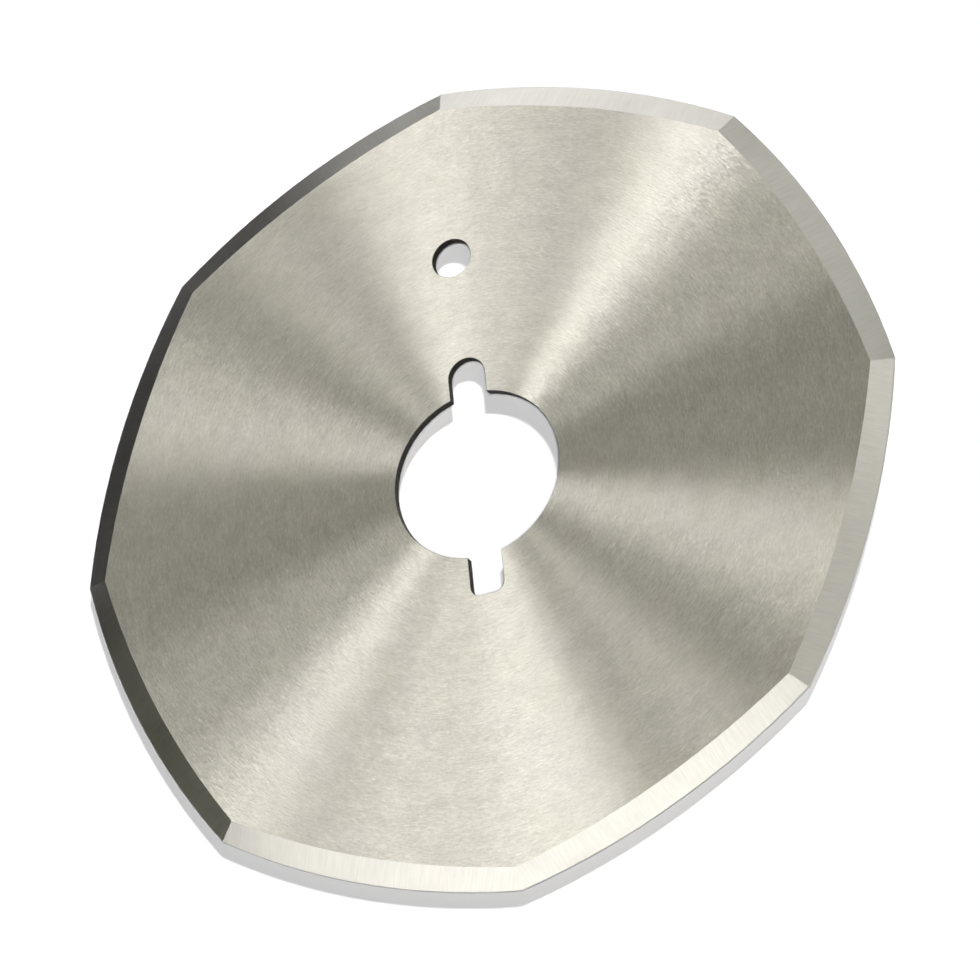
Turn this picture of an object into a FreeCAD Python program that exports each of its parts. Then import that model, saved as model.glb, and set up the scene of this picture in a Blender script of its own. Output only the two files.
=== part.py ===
import FreeCAD, Part
import math
import os

# Eight-sided blade for a hand-held rotary cloth cutter.
# One flat plate of tool steel. Its eight cutting edges are bowed outwards, and each is ground
# from the front face only, so eight bevels meet in mitred ridges at the corners. The plate is
# pierced by a centre bore with two opposite keyways and by one drive-pin hole.
# The origin is on the bore's axis in the back face. +Z points out of the bevelled face, and
# +Y points to the corner that lines up with the drive-pin hole.

# Plate
THICKNESS = 1.0
ACROSS_CORNERS = 100.0
SIDE_COUNT = 8
SIDE_BOW_RADIUS = 87.3
FIRST_CORNER_ANGLE = 90.0

# Main bevel: how far in from a corner its ridge runs, and the bow of the line where it leaves
# the front face. That line is flatter than the edge, so the bevel is widest at mid side.
BEVEL_RIDGE_LENGTH = 2.55
BEVEL_SHOULDER_RADIUS = 102.0

# Honed edge: the narrow steep bevel that makes the cutting edge in the back face
HONED_WIDTH = 0.12
HONED_HEIGHT = 0.12

# Centre bore
BORE_DIAMETER = 20.25

# Keyway with a full round end, towards +Y
ROUND_KEY_WIDTH = 4.5
ROUND_KEY_REACH = 14.65

# Keyway with a flat end and rounded corners, towards -Y
FLAT_KEY_WIDTH = 4.1
FLAT_KEY_REACH = 14.8
FLAT_KEY_CORNER_RADIUS = 1.2

# Drive-pin hole, a little to one side of the keyways' centre line
PIN_HOLE_DIAMETER = 4.8
PIN_HOLE_REACH = 27.8
PIN_HOLE_SIDE_OFFSET = -0.4

# Broken edge round every opening, on both faces
RIM_BREAK = 0.05

# How far a cutter runs past each face
CUT_OVERRUN = 1.0


def on_circle(radius, angle_deg, z):
    """Point at a radius and an angle from +X round the bore's axis."""
    angle = math.radians(angle_deg)
    return FreeCAD.Vector(radius * math.cos(angle), radius * math.sin(angle), z)


def mid_side_distance(corner_radius, bow_radius):
    """Distance from the bore's axis to the middle of a bowed side."""
    half_turn = math.pi / SIDE_COUNT
    half_chord = corner_radius * math.sin(half_turn)
    rise = bow_radius - math.sqrt(bow_radius ** 2 - half_chord ** 2)
    return corner_radius * math.cos(half_turn) + rise


def bowed_outline(corner_radius, bow_radius, z):
    """Closed outline of arcs from corner to corner, at height z."""
    step = 360.0 / SIDE_COUNT
    side_middle = mid_side_distance(corner_radius, bow_radius)
    sides = []
    for index in range(SIDE_COUNT):
        start_angle = FIRST_CORNER_ANGLE + index * step
        start = on_circle(corner_radius, start_angle, z)
        middle = on_circle(side_middle, start_angle + step / 2, z)
        end = on_circle(corner_radius, start_angle + step, z)
        sides.append(Part.Arc(start, middle, end).toShape())
    return Part.Wire(sides)


def ground_plate():
    """Solid plate with its eight mitred bevels and honed edges."""
    corner_radius = ACROSS_CORNERS / 2
    edge = bowed_outline(corner_radius, SIDE_BOW_RADIUS, 0)
    honed_line = bowed_outline(corner_radius - HONED_WIDTH, SIDE_BOW_RADIUS - HONED_WIDTH, HONED_HEIGHT)
    shoulder = bowed_outline(corner_radius - BEVEL_RIDGE_LENGTH, BEVEL_SHOULDER_RADIUS, THICKNESS)
    return Part.makeLoft([edge, honed_line, shoulder], True, True)


def through_cylinder(diameter, x, y):
    """Round cutter that passes both faces."""
    foot = FreeCAD.Vector(x, y, -CUT_OVERRUN)
    return Part.makeCylinder(diameter / 2, THICKNESS + 2 * CUT_OVERRUN, foot)


def through_bar(width, length):
    """Straight cutter from the bore's axis towards +Y that passes both faces."""
    corner = FreeCAD.Vector(-width / 2, 0, -CUT_OVERRUN)
    return Part.makeBox(width, length, THICKNESS + 2 * CUT_OVERRUN, corner)


def round_keyway():
    """Cutter for the keyway with a full round end."""
    end_centre = ROUND_KEY_REACH - ROUND_KEY_WIDTH / 2
    return through_bar(ROUND_KEY_WIDTH, end_centre).fuse(through_cylinder(ROUND_KEY_WIDTH, 0, end_centre))


def flat_keyway():
    """Cutter for the keyway with a flat end, its two end corners rounded."""
    bar = through_bar(FLAT_KEY_WIDTH, FLAT_KEY_REACH)
    end_corners = [edge for edge in bar.Edges if is_upright(edge) and edge.CenterOfMass.y > FLAT_KEY_REACH / 2]
    bar = bar.makeFillet(FLAT_KEY_CORNER_RADIUS, end_corners)
    bar.rotate(FreeCAD.Vector(0, 0, 0), FreeCAD.Vector(0, 0, 1), 180)
    return bar


def is_upright(edge):
    """True for a straight edge along Z."""
    first, last = edge.Vertexes[0].Point, edge.Vertexes[-1].Point
    return math.hypot(first.x - last.x, first.y - last.y) < 1e-6


def keyed_bore():
    """Cutter for the centre bore with both keyways."""
    bore = through_cylinder(BORE_DIAMETER, 0, 0)
    return bore.fuse([round_keyway(), flat_keyway()]).removeSplitter()


def rim_edges(plate):
    """Edges round the openings: only the front and back faces have wires inside their outline."""
    rims = []
    for face in plate.Faces:
        for wire in face.Wires:
            if not wire.isSame(face.OuterWire):
                rims.extend(wire.Edges)
    return rims


def blade():
    """The whole blade."""
    pin_hole = through_cylinder(PIN_HOLE_DIAMETER, PIN_HOLE_SIDE_OFFSET, PIN_HOLE_REACH)
    pierced = ground_plate().cut([keyed_bore(), pin_hole])
    return pierced.makeChamfer(RIM_BREAK, rim_edges(pierced))


os.makedirs("parts", exist_ok=True)
blade().exportStep("parts/blade.step")
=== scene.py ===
# Studio scene for the eight-sided rotary cutter blade: one plate of ground tool steel, seen from
# above on a white table. Lengths are in metres and angles in degrees unless a name says otherwise.
# Azimuths run anticlockwise from +X, and elevations rise from the table.
import math

import bpy
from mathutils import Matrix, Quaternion, Vector

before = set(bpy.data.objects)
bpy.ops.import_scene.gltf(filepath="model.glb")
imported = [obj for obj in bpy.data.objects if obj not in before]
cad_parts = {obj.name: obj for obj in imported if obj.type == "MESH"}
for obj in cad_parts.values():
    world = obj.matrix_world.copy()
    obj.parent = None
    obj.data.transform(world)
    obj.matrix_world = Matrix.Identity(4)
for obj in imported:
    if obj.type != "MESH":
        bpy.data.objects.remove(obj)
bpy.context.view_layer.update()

MM = 0.001
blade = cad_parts["blade"]

# Camera: a long lens that looks down on the front face from beside one cutting edge
CAMERA_AIM = Vector((1.036, -1.913, 0.0)) * MM
CAMERA_DISTANCE = 545.11 * MM
CAMERA_AZIMUTH = -52.182
CAMERA_ELEVATION = 56.391
CAMERA_ROLL = 48.829
CAMERA_LENS_MM = 178.735
CAMERA_CLIP_END = 20.0

# Table: the blade's cutting edges stay a little clear of it, so the shadow shows as a band
TABLE_GAP = 2.5 * MM
TABLE_RADIUS = 3.0
TABLE_COLOR = (0.9, 0.9, 0.905, 1.0)
TABLE_STEPS = 96

# Table light: radiance that the white table shows in full light and in the blade's shadow, and the
# azimuth and elevation of the two suns
LIT_TABLE = 1.03
SHADED_TABLE = 0.545
KEY_DIRECTION = (26.4, 59.0)
FILL_DIRECTION = (CAMERA_AZIMUTH, CAMERA_ELEVATION)
SUN_WIDTH = 4.5

# Soft boxes that the steel reflects: azimuth, elevation, width, height and roll as angles seen from
# the blade, and radiance. The rows weren't chosen by hand: they are rounded results of a fit to the
# light seen on the blade, and most boxes were then made one or two degrees wider
SOFTBOX_DISTANCE = 3.0
SOFTBOXES = {
    "east_low": (0, 27, 7, 37, 14, 4.5),
    "east_top": (18, 70, 9, 37, 38, 3.3),
    "north_east_low": (25, 16, 6, 41, 7, 2.1),
    "north_east_slant": (48, 11, 7, 58, 31, 5.1),
    "north_low": (72, 3, 7, 37, 53, 4.5),
    "north_strip": (91, 37, 6, 35, 28, 5.6),
    "north_west_long": (119, 43, 60, 6, -50, 4.0),
    "south_west_low": (214, 20, 12, 16, -59, 4.5),
    "south_west_high": (215, 55, 38, 6, 12, 3.3),
    "south_west_key": (227, 68, 12, 24, -36, 5.9),
    "south_low": (253, 5, 6, 41, -17, 4.9),
    "south_strip": (269, 24, 6, 49, -1, 5.4),
    "south_east_tall": (300, 30, 13, 84, 0, 2.7),
    "east_middle": (334, 33, 6, 32, 24, 5.2),
}

# Ceiling that fills the dark fans with olive light, in the same terms, and the tints of the lamps
CEILING = (0, 88, 110, 110, 0, 0.06)
CEILING_TINT = (1.0, 1.0, 0.27)
PLAIN_TINT = (1.0, 1.0, 1.0)

# Room: white behind the blade, a low pale backdrop that the steel reflects, and dim even light over it
ROOM_COLOR = (1.0, 1.0, 1.0, 1.0)
BACKDROP_LEVEL = 1.0
BACKDROP_TOP = 1.0
BACKDROP_FADE_END = 1.5
ROOM_LEVEL = 0.005

# Zones of the steel, told apart by the slope of the surface and the distance from the bore's axis
FLAT_SLOPE = 0.999
BEVEL_SLOPE = 0.85
WALL_SLOPE = 0.3
OPENINGS_REACH = 40 * MM

# Sides of the blade: half the turn from one to the next in radians, and how far behind the bore's
# axis the centre of a side's bow lies
HALF_SIDE = math.radians(22.5)
BOW_CENTRE_SETBACK = 39.0 * MM

# Steel
STEEL = (0.69, 0.67, 0.625)
STEEL_OLIVE = (0.648, 0.626, 0.555)
STEEL_MAUVE = (0.653, 0.622, 0.572)
HONED_STEEL = (0.66, 0.645, 0.625)
RIM_STEEL = (0.2, 0.19, 0.17)
# Walls of the openings: painted dark reflection, near-black with slightly lighter streaks along the cut
WALL_PAINTED_DARK = (0.022, 0.02, 0.018)
WALL_PAINTED_STREAK = (0.06, 0.055, 0.048)
FACE_ROUGHNESS = 0.351
BEVEL_ROUGHNESS = 0.308
EDGE_ROUGHNESS = 0.6
ROUGHNESS_SPREAD = 0.02

# Grain sizes: how long a mark is along its grinding stroke and how wide it is across it
FLECK_LENGTH = 0.8 * MM
FLECK_WIDTH = 0.18 * MM
FLECK_CRISPNESS = 0.65
LAY_LENGTH = 5.0 * MM
LAY_WIDTH = 0.5 * MM
SPECKLE_SIZE = 0.3 * MM
PATCH_SIZE = 2.5 * MM
CLOUD_SIZE = 9.0 * MM
GRAIN_DEPTH = 0.02 * MM
CROSS_GRIND_PITCH = 0.25 * MM
CROSS_GRIND_LENGTH = 3.0 * MM
BEVEL_PATCH_LENGTH = 2.5 * MM
WALL_MARK_LENGTH = 0.9 * MM

# Noise: how many finer layers it has, how much each layer keeps, the range most of it lies in, and
# how far apart the noise of two neighbouring sides is read
FINE_DETAIL = 3.0
PLAIN_DETAIL = 2.0
PLAIN_CRISPNESS = 0.5
NOISE_LOW = 0.25
NOISE_HIGH = 0.75
SIDE_STEP = 7.0

# Grain contrast: the shade that each mark gives, as a factor or as a share more or less. The flecks and
# the cross-ground lines also set the bump's height, so their shade is partly grain and partly painted
# shade in the grooves, and the glints are painted highlights on the brightest flecks
FLECK_SHADE = (0.82, 1.16)
LAY_SHADE = 0.05
SPECKLE_SHADE = 0.06
PATCH_SHADE = 0.06
GLINT_START = 0.62
GLINT_LIGHT = 0.08
CLOUD_RANGE = (0.35, 0.65)
CROSS_GRIND_SHADE = (0.94, 1.05)
BEVEL_PATCH_SHADE = 0.03
# Range of the noise over which the painted dark walls go from their darkest tone to their lighter streaks
WALL_STREAK_RANGE = (0.4, 0.7)

# Grain waver: how far a mark turns the polish to either side
FLECK_TURN = 0.08
CROSS_GRIND_TURN = 0.03

# Sockets of a mix node by data type: factor, first value, second value and result
MIX_SOCKETS = {"FLOAT": (0, 2, 3, 0), "VECTOR": (0, 4, 5, 1)}


def direction(azimuth, elevation):
    """Unit vector from the blade towards a place in the studio."""
    a = math.radians(azimuth)
    e = math.radians(elevation)
    return Vector((math.cos(e) * math.cos(a), math.cos(e) * math.sin(a), math.sin(e)))


def add_object(name, data):
    """New object in the scene."""
    item = bpy.data.objects.new(name, data)
    bpy.context.scene.collection.objects.link(item)
    return item


def aimed(outward, roll=0.0):
    """Rotation of a camera or a lamp that looks back along a direction, rolled about its own axis."""
    return outward.to_track_quat("Z", "Y") @ Quaternion((0, 0, 1), math.radians(-roll))


class Graph:
    """Small helper that adds shader nodes and links them."""

    def __init__(self, tree):
        self.tree = tree
        self.tree.nodes.clear()

    def add(self, kind, inputs=None, **settings):
        """Node of a kind, with settings and with inputs given as values or as sockets."""
        node = self.tree.nodes.new(kind)
        for name, value in settings.items():
            setattr(node, name, value)
        for name, value in (inputs or {}).items():
            self.connect(value, node.inputs[name])
        return node

    def connect(self, value, socket):
        """Links a socket, or sets a plain value."""
        if isinstance(value, bpy.types.NodeSocket):
            self.tree.links.new(value, socket)
        else:
            socket.default_value = value

    def math(self, operation, *values):
        """Result of a sum on plain numbers."""
        return self.add("ShaderNodeMath", dict(enumerate(values)), operation=operation).outputs[0]

    def vector(self, operation, *values):
        """Result of a sum on vectors, of which the second value is a plain number when it scales."""
        node = self.add("ShaderNodeVectorMath", operation=operation)
        for index, value in enumerate(values):
            self.connect(value, node.inputs["Scale" if index and operation == "SCALE" else index])
        return node.outputs["Value" if operation in ("LENGTH", "DOT_PRODUCT") else "Vector"]

    def combine(self, x, y, z):
        """Vector from three numbers."""
        return self.add("ShaderNodeCombineXYZ", {"X": x, "Y": y, "Z": z}).outputs[0]

    def separate(self, vector):
        """Three numbers of a vector."""
        return self.add("ShaderNodeSeparateXYZ", {0: vector}).outputs

    def noise(self, vector, detail, crispness=PLAIN_CRISPNESS):
        """Noise over a place that is already measured in grain sizes."""
        node = self.add("ShaderNodeTexNoise", {
            "Vector": vector,
            "Scale": 1.0,
            "Detail": detail,
            "Roughness": crispness,
        })
        return node.outputs["Fac"]

    def remap(self, value, from_low, from_high, to_low, to_high):
        """Number carried from one range to another, held at its ends."""
        node = self.add("ShaderNodeMapRange", {
            "Value": value,
            "From Min": from_low,
            "From Max": from_high,
            "To Min": to_low,
            "To Max": to_high,
        })
        return node.outputs["Result"]

    def spread(self, noise, low, high):
        """Noise carried from its usual range to another."""
        return self.remap(noise, NOISE_LOW, NOISE_HIGH, low, high)

    def swing(self, noise, reach):
        """Noise carried to a reach to either side of zero."""
        return self.spread(noise, -reach, reach)

    def mix(self, factor, a, b, data_type="FLOAT"):
        """Blend of two values."""
        factor_in, a_in, b_in, result = MIX_SOCKETS[data_type]
        node = self.add("ShaderNodeMix", {factor_in: factor, a_in: a, b_in: b}, data_type=data_type)
        return node.outputs[result]

    def mix_vector(self, factor, a, b):
        """Blend of two vectors or colours."""
        return self.mix(factor, a, b, "VECTOR")


class SteelGraph(Graph):
    """Node helper with the places and zones that every layer of the steel shares."""

    def __init__(self, tree):
        super().__init__(tree)
        place = self.add("ShaderNodeTexCoord").outputs["Object"]
        geometry = self.add("ShaderNodeNewGeometry")
        self.normal = geometry.outputs["Normal"]
        self.slope = self.math("ABSOLUTE", self.separate(geometry.outputs["True Normal"])[2])
        self.x, self.y, self.height = self.separate(place)
        self.flat_place = self.combine(self.x, self.y, 0.0)
        self.radius = self.vector("LENGTH", self.flat_place)
        self.outward = self.vector("NORMALIZE", self.flat_place)
        self.is_face = self.math("GREATER_THAN", self.slope, FLAT_SLOPE)
        self.is_steep = self.math("LESS_THAN", self.slope, BEVEL_SLOPE)
        self.in_opening = self.math("LESS_THAN", self.radius, OPENINGS_REACH)

    def arc_noise(self, length, width, crispness=PLAIN_CRISPNESS):
        """Noise drawn out along circles round the bore, as a grinding wheel leaves it."""
        place = self.combine(self.math("DIVIDE", self.x, length), self.math("DIVIDE", self.y, length),
                             self.math("DIVIDE", self.radius, width))
        return self.noise(place, FINE_DETAIL, crispness)

    def even_noise(self, size, detail):
        """Noise without a direction."""
        return self.noise(self.vector("SCALE", self.flat_place, 1 / size), detail)

    def side_place(self):
        """Number of the side that a point is on, and its distance along that side."""
        angle = self.math("ARCTAN2", self.y, self.x)
        from_corner = self.math("SUBTRACT", angle, HALF_SIDE)
        from_middle = self.math("WRAP", from_corner, HALF_SIDE, -HALF_SIDE)
        number = self.math("ROUND", self.math("DIVIDE", self.math("SUBTRACT", angle, from_middle), HALF_SIDE))
        beside = self.math("MULTIPLY", self.radius, self.math("SINE", from_middle))
        ahead = self.math("MULTIPLY", self.radius, self.math("COSINE", from_middle))
        from_centre = self.math("ADD", ahead, BOW_CENTRE_SETBACK)
        bow_angle = self.math("ARCTAN2", beside, from_centre)
        bow_radius = self.vector("LENGTH", self.combine(beside, from_centre, 0.0))
        return number, self.math("MULTIPLY", bow_angle, bow_radius)

    def bevel_noise(self, number, along, pitch):
        """Noise in lines that cross a bevel square to its cutting edge."""
        place = self.combine(self.math("DIVIDE", along, pitch),
                             self.math("DIVIDE", self.radius, CROSS_GRIND_LENGTH),
                             self.math("MULTIPLY", number, SIDE_STEP))
        return self.noise(place, PLAIN_DETAIL)


def face_color(g, fleck, lay):
    """Ground face: olive and mauve clouds under light flecks and long fine streaks; the flecks are darker in
    the bump's grooves as painted shade, and the brightest carry painted glints.
    """
    tint = g.remap(g.even_noise(CLOUD_SIZE, FINE_DETAIL), *CLOUD_RANGE, 0.0, 1.0)
    base = g.mix_vector(tint, STEEL_OLIVE, STEEL_MAUVE)
    grain = g.math("ADD", g.spread(fleck, *FLECK_SHADE), g.swing(lay, LAY_SHADE))
    speckles = g.swing(g.even_noise(SPECKLE_SIZE, PLAIN_DETAIL), SPECKLE_SHADE)
    patches = g.swing(g.even_noise(PATCH_SIZE, PLAIN_DETAIL), PATCH_SHADE)
    shade = g.math("ADD", grain, g.math("ADD", speckles, patches))
    glints = g.remap(fleck, GLINT_START, NOISE_HIGH, 0.0, GLINT_LIGHT)
    return g.vector("ADD", g.vector("SCALE", base, shade), g.combine(glints, glints, glints))


def bevel_color(g, lines, patches):
    """Bevel: fine lines square to the edge over broader patches; the lines are darker in the bump's grooves
    as painted shade.
    """
    grain = g.math("ADD", g.spread(lines, *CROSS_GRIND_SHADE), g.swing(patches, BEVEL_PATCH_SHADE))
    return g.vector("SCALE", STEEL, grain)


def painted_dark_wall_color(g):
    """Walls of the openings: painted dark reflection, near-black with slightly lighter streaks along the cut.
    """
    place = g.combine(g.math("DIVIDE", g.x, FLECK_WIDTH), g.math("DIVIDE", g.y, FLECK_WIDTH),
                      g.math("DIVIDE", g.height, WALL_MARK_LENGTH))
    marks = g.noise(place, PLAIN_DETAIL)
    return g.mix_vector(g.remap(marks, *WALL_STREAK_RANGE, 0.0, 1.0), WALL_PAINTED_DARK, WALL_PAINTED_STREAK)


def steel_color(g, face, bevel):
    """Colour of every zone of the blade."""
    is_honed = g.math("MULTIPLY", g.is_steep, g.math("SUBTRACT", 1.0, g.in_opening))
    is_rim = g.math("MULTIPLY", g.is_steep, g.in_opening)
    is_wall = g.math("MULTIPLY", g.math("LESS_THAN", g.slope, WALL_SLOPE), g.in_opening)
    color = g.mix_vector(g.is_face, bevel, face)
    color = g.mix_vector(is_honed, color, HONED_STEEL)
    color = g.mix_vector(is_rim, color, RIM_STEEL)
    return g.mix_vector(is_wall, color, painted_dark_wall_color(g))


def steel_roughness(g, lay):
    """Roughness of every zone, with a slight change along the lay."""
    roughness = g.mix(g.is_face, BEVEL_ROUGHNESS, FACE_ROUGHNESS)
    roughness = g.mix(g.is_steep, roughness, EDGE_ROUGHNESS)
    return g.math("ADD", roughness, g.swing(lay, ROUGHNESS_SPREAD))


def steel_tangent(g, fleck, lines):
    """Direction of least polish: across the circular lay on a face, along the side on a bevel."""
    along_side = g.vector("NORMALIZE", g.vector("CROSS_PRODUCT", (0.0, 0.0, 1.0), g.normal))
    straight = g.mix_vector(g.is_face, along_side, g.outward)
    sideways = g.vector("CROSS_PRODUCT", g.normal, straight)
    turn = g.mix(g.is_face, g.swing(lines, CROSS_GRIND_TURN), g.swing(fleck, FLECK_TURN))
    return g.vector("NORMALIZE", g.vector("ADD", straight, g.vector("SCALE", sideways, turn)))


def grain_bump(g, fleck, lines):
    """Shallow relief of the grinding marks."""
    height = g.mix(g.is_face, lines, fleck)
    return g.add("ShaderNodeBump", {"Strength": 1.0, "Distance": GRAIN_DEPTH, "Height": height}).outputs[0]


def new_material(name, graph_kind):
    """Empty node material and its graph."""
    material = bpy.data.materials.new(name)
    material.use_nodes = True
    return material, graph_kind(material.node_tree)


def steel_material():
    """Ground tool steel: circular lay on the faces, cross-ground bevels, dark walls in the openings."""
    material, g = new_material("ground_tool_steel", SteelGraph)
    fleck = g.arc_noise(FLECK_LENGTH, FLECK_WIDTH, FLECK_CRISPNESS)
    lay = g.arc_noise(LAY_LENGTH, LAY_WIDTH)
    number, along = g.side_place()
    lines = g.bevel_noise(number, along, CROSS_GRIND_PITCH)
    patches = g.bevel_noise(number, along, BEVEL_PATCH_LENGTH)
    shader = g.add("ShaderNodeBsdfPrincipled", {
        "Base Color": steel_color(g, face_color(g, fleck, lay), bevel_color(g, lines, patches)),
        "Metallic": 1.0,
        "Roughness": steel_roughness(g, lay),
        "Anisotropic": 1.0,
        "Tangent": steel_tangent(g, fleck, lines),
        "Normal": grain_bump(g, fleck, lines),
    })
    g.add("ShaderNodeOutputMaterial", {"Surface": shader.outputs[0]})
    return material


def table_material():
    """Matt white table top."""
    material, g = new_material("table_white", Graph)
    shader = g.add("ShaderNodeBsdfDiffuse", {"Color": TABLE_COLOR})
    g.add("ShaderNodeOutputMaterial", {"Surface": shader.outputs[0]})
    return material


def make_table():
    """Round white table top, a little below the blade."""
    turns = [2 * math.pi * step / TABLE_STEPS for step in range(TABLE_STEPS)]
    rim = [(TABLE_RADIUS * math.cos(turn), TABLE_RADIUS * math.sin(turn), -TABLE_GAP) for turn in turns]
    mesh = bpy.data.meshes.new("table")
    mesh.from_pydata(rim, [], [range(TABLE_STEPS)])
    mesh.materials.append(table_material())
    add_object("table", mesh)


def sun(name, azimuth, elevation, level):
    """Lamp for the table only, strong enough to show it at a given level."""
    lamp = bpy.data.lights.new(name, "SUN")
    lamp.angle = math.radians(SUN_WIDTH)
    lamp.energy = level * math.pi / (TABLE_COLOR[0] * math.sin(math.radians(elevation)))
    item = add_object(name, lamp)
    item.rotation_mode = "QUATERNION"
    item.rotation_quaternion = aimed(direction(azimuth, elevation))
    item.visible_glossy = False


def softbox(name, azimuth, elevation, width, height, roll, radiance, tint=PLAIN_TINT):
    """Rectangular lamp that only the steel's gloss sees."""
    lamp = bpy.data.lights.new(name, "AREA")
    lamp.shape = "RECTANGLE"
    lamp.size = 2 * SOFTBOX_DISTANCE * math.tan(math.radians(width / 2))
    lamp.size_y = 2 * SOFTBOX_DISTANCE * math.tan(math.radians(height / 2))
    lamp.energy = radiance * math.pi * lamp.size * lamp.size_y
    lamp.color = tint
    item = add_object(name, lamp)
    outward = direction(azimuth, elevation)
    item.location = outward * SOFTBOX_DISTANCE
    item.rotation_mode = "QUATERNION"
    item.rotation_quaternion = aimed(outward, roll)
    item.visible_camera = False
    item.visible_diffuse = False


def make_room():
    """White background, and for the steel a pale backdrop round the horizon under dim even light."""
    world = bpy.data.worlds.new("room")
    world.use_nodes = True
    g = Graph(world.node_tree)
    rise = g.separate(g.add("ShaderNodeTexCoord").outputs["Generated"])[2]
    level = g.remap(rise, math.sin(math.radians(BACKDROP_TOP)), math.sin(math.radians(BACKDROP_FADE_END)),
                    BACKDROP_LEVEL, ROOM_LEVEL)
    level = g.math("MAXIMUM", level, g.add("ShaderNodeLightPath").outputs["Is Camera Ray"])
    light = g.add("ShaderNodeBackground", {"Color": ROOM_COLOR, "Strength": level})
    g.add("ShaderNodeOutputWorld", {"Surface": light.outputs[0]})
    bpy.context.scene.world = world


def make_camera():
    """Camera at the photograph's angle."""
    data = bpy.data.cameras.new("camera")
    data.lens = CAMERA_LENS_MM
    data.clip_end = CAMERA_CLIP_END
    camera = add_object("camera", data)
    outward = direction(CAMERA_AZIMUTH, CAMERA_ELEVATION)
    camera.location = CAMERA_AIM + outward * CAMERA_DISTANCE
    camera.rotation_mode = "QUATERNION"
    camera.rotation_quaternion = aimed(outward, CAMERA_ROLL)
    bpy.context.scene.camera = camera


blade.data.materials[0] = steel_material()
make_table()
make_room()
make_camera()
sun("key", *KEY_DIRECTION, LIT_TABLE - SHADED_TABLE)
sun("fill", *FILL_DIRECTION, SHADED_TABLE)
for box_name, values in SOFTBOXES.items():
    softbox(box_name, *values)
softbox("ceiling", *CEILING, tint=CEILING_TINT)
bpy.context.scene.view_settings.view_transform = "Standard"
